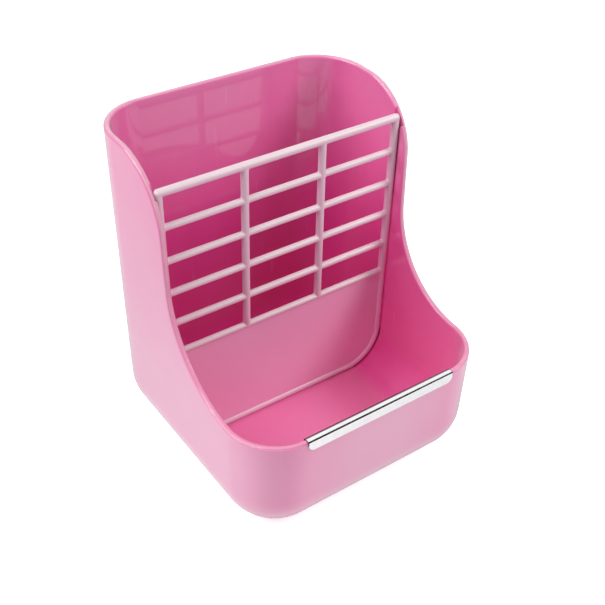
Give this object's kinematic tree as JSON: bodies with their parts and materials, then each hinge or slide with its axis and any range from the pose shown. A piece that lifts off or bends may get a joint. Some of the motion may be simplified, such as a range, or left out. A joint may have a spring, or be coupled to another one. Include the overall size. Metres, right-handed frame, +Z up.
{
  "type": "pet hay feeder box",
  "caption": "Free-standing hay hopper and food trough in one tub, with a lift-out bar grille, a metal lip guard and screw clamps for a cage wall.",
  "frame": {"origin": "middle of the tub's flat underside", "axes": "+X to the right seen from the front, +Y to the back, +Z up"},
  "size_m": [0.14, 0.1686, 0.166],
  "materials": {
    "tub_plastic": "glossy moulded plastic",
    "grille_plastic": "glossy moulded plastic, paler than the tub",
    "guard_metal": "polished folded sheet",
    "bolt_metal": "zinc plated",
    "clamp_plastic": "moulded plastic in the tub's colour"
  },
  "bodies": {
    "tub": {"feeder_tub": "tub_plastic", "lip_guard": "guard_metal", "left_clamp_bolt": "bolt_metal", "right_clamp_bolt": "bolt_metal"},
    "grille": {"hay_grille": "grille_plastic"},
    "left_plate": {"left_clamp_plate": "clamp_plastic"},
    "left_nut": {"left_wing_nut": "clamp_plastic"},
    "right_plate": {"right_clamp_plate": "clamp_plastic"},
    "right_nut": {"right_wing_nut": "clamp_plastic"}
  },
  "joints": [
    {"name": "grille_lift", "type": "slide", "parent": "tub", "child": "grille", "axis": [0, 0.0241, 0.9997], "range_m": [0, 0.156]},
    {"name": "left_plate_slide", "type": "slide", "parent": "tub", "child": "left_plate", "axis": [0, 1, 0], "range_m": [-0.0049, 0.0043]},
    {"name": "left_nut_turn", "type": "hinge", "parent": "left_plate", "child": "left_nut", "pos_m": [-0.028, 0.08605, 0.122], "axis": [0, 1, 0], "range_deg": [-2206, 1936]},
    {"name": "right_plate_slide", "type": "slide", "parent": "tub", "child": "right_plate", "axis": [0, 1, 0], "range_m": [-0.0049, 0.0043]},
    {"name": "right_nut_turn", "type": "hinge", "parent": "right_plate", "child": "right_nut", "pos_m": [0.028, 0.08605, 0.122], "axis": [0, 1, 0], "range_deg": [-2206, 1936]}
  ],
  "couplings": [
    {"joint": "left_nut_turn", "follows": "left_plate_slide", "rad_per_m": 7854},
    {"joint": "right_nut_turn", "follows": "right_plate_slide", "rad_per_m": 7854}
  ]
}
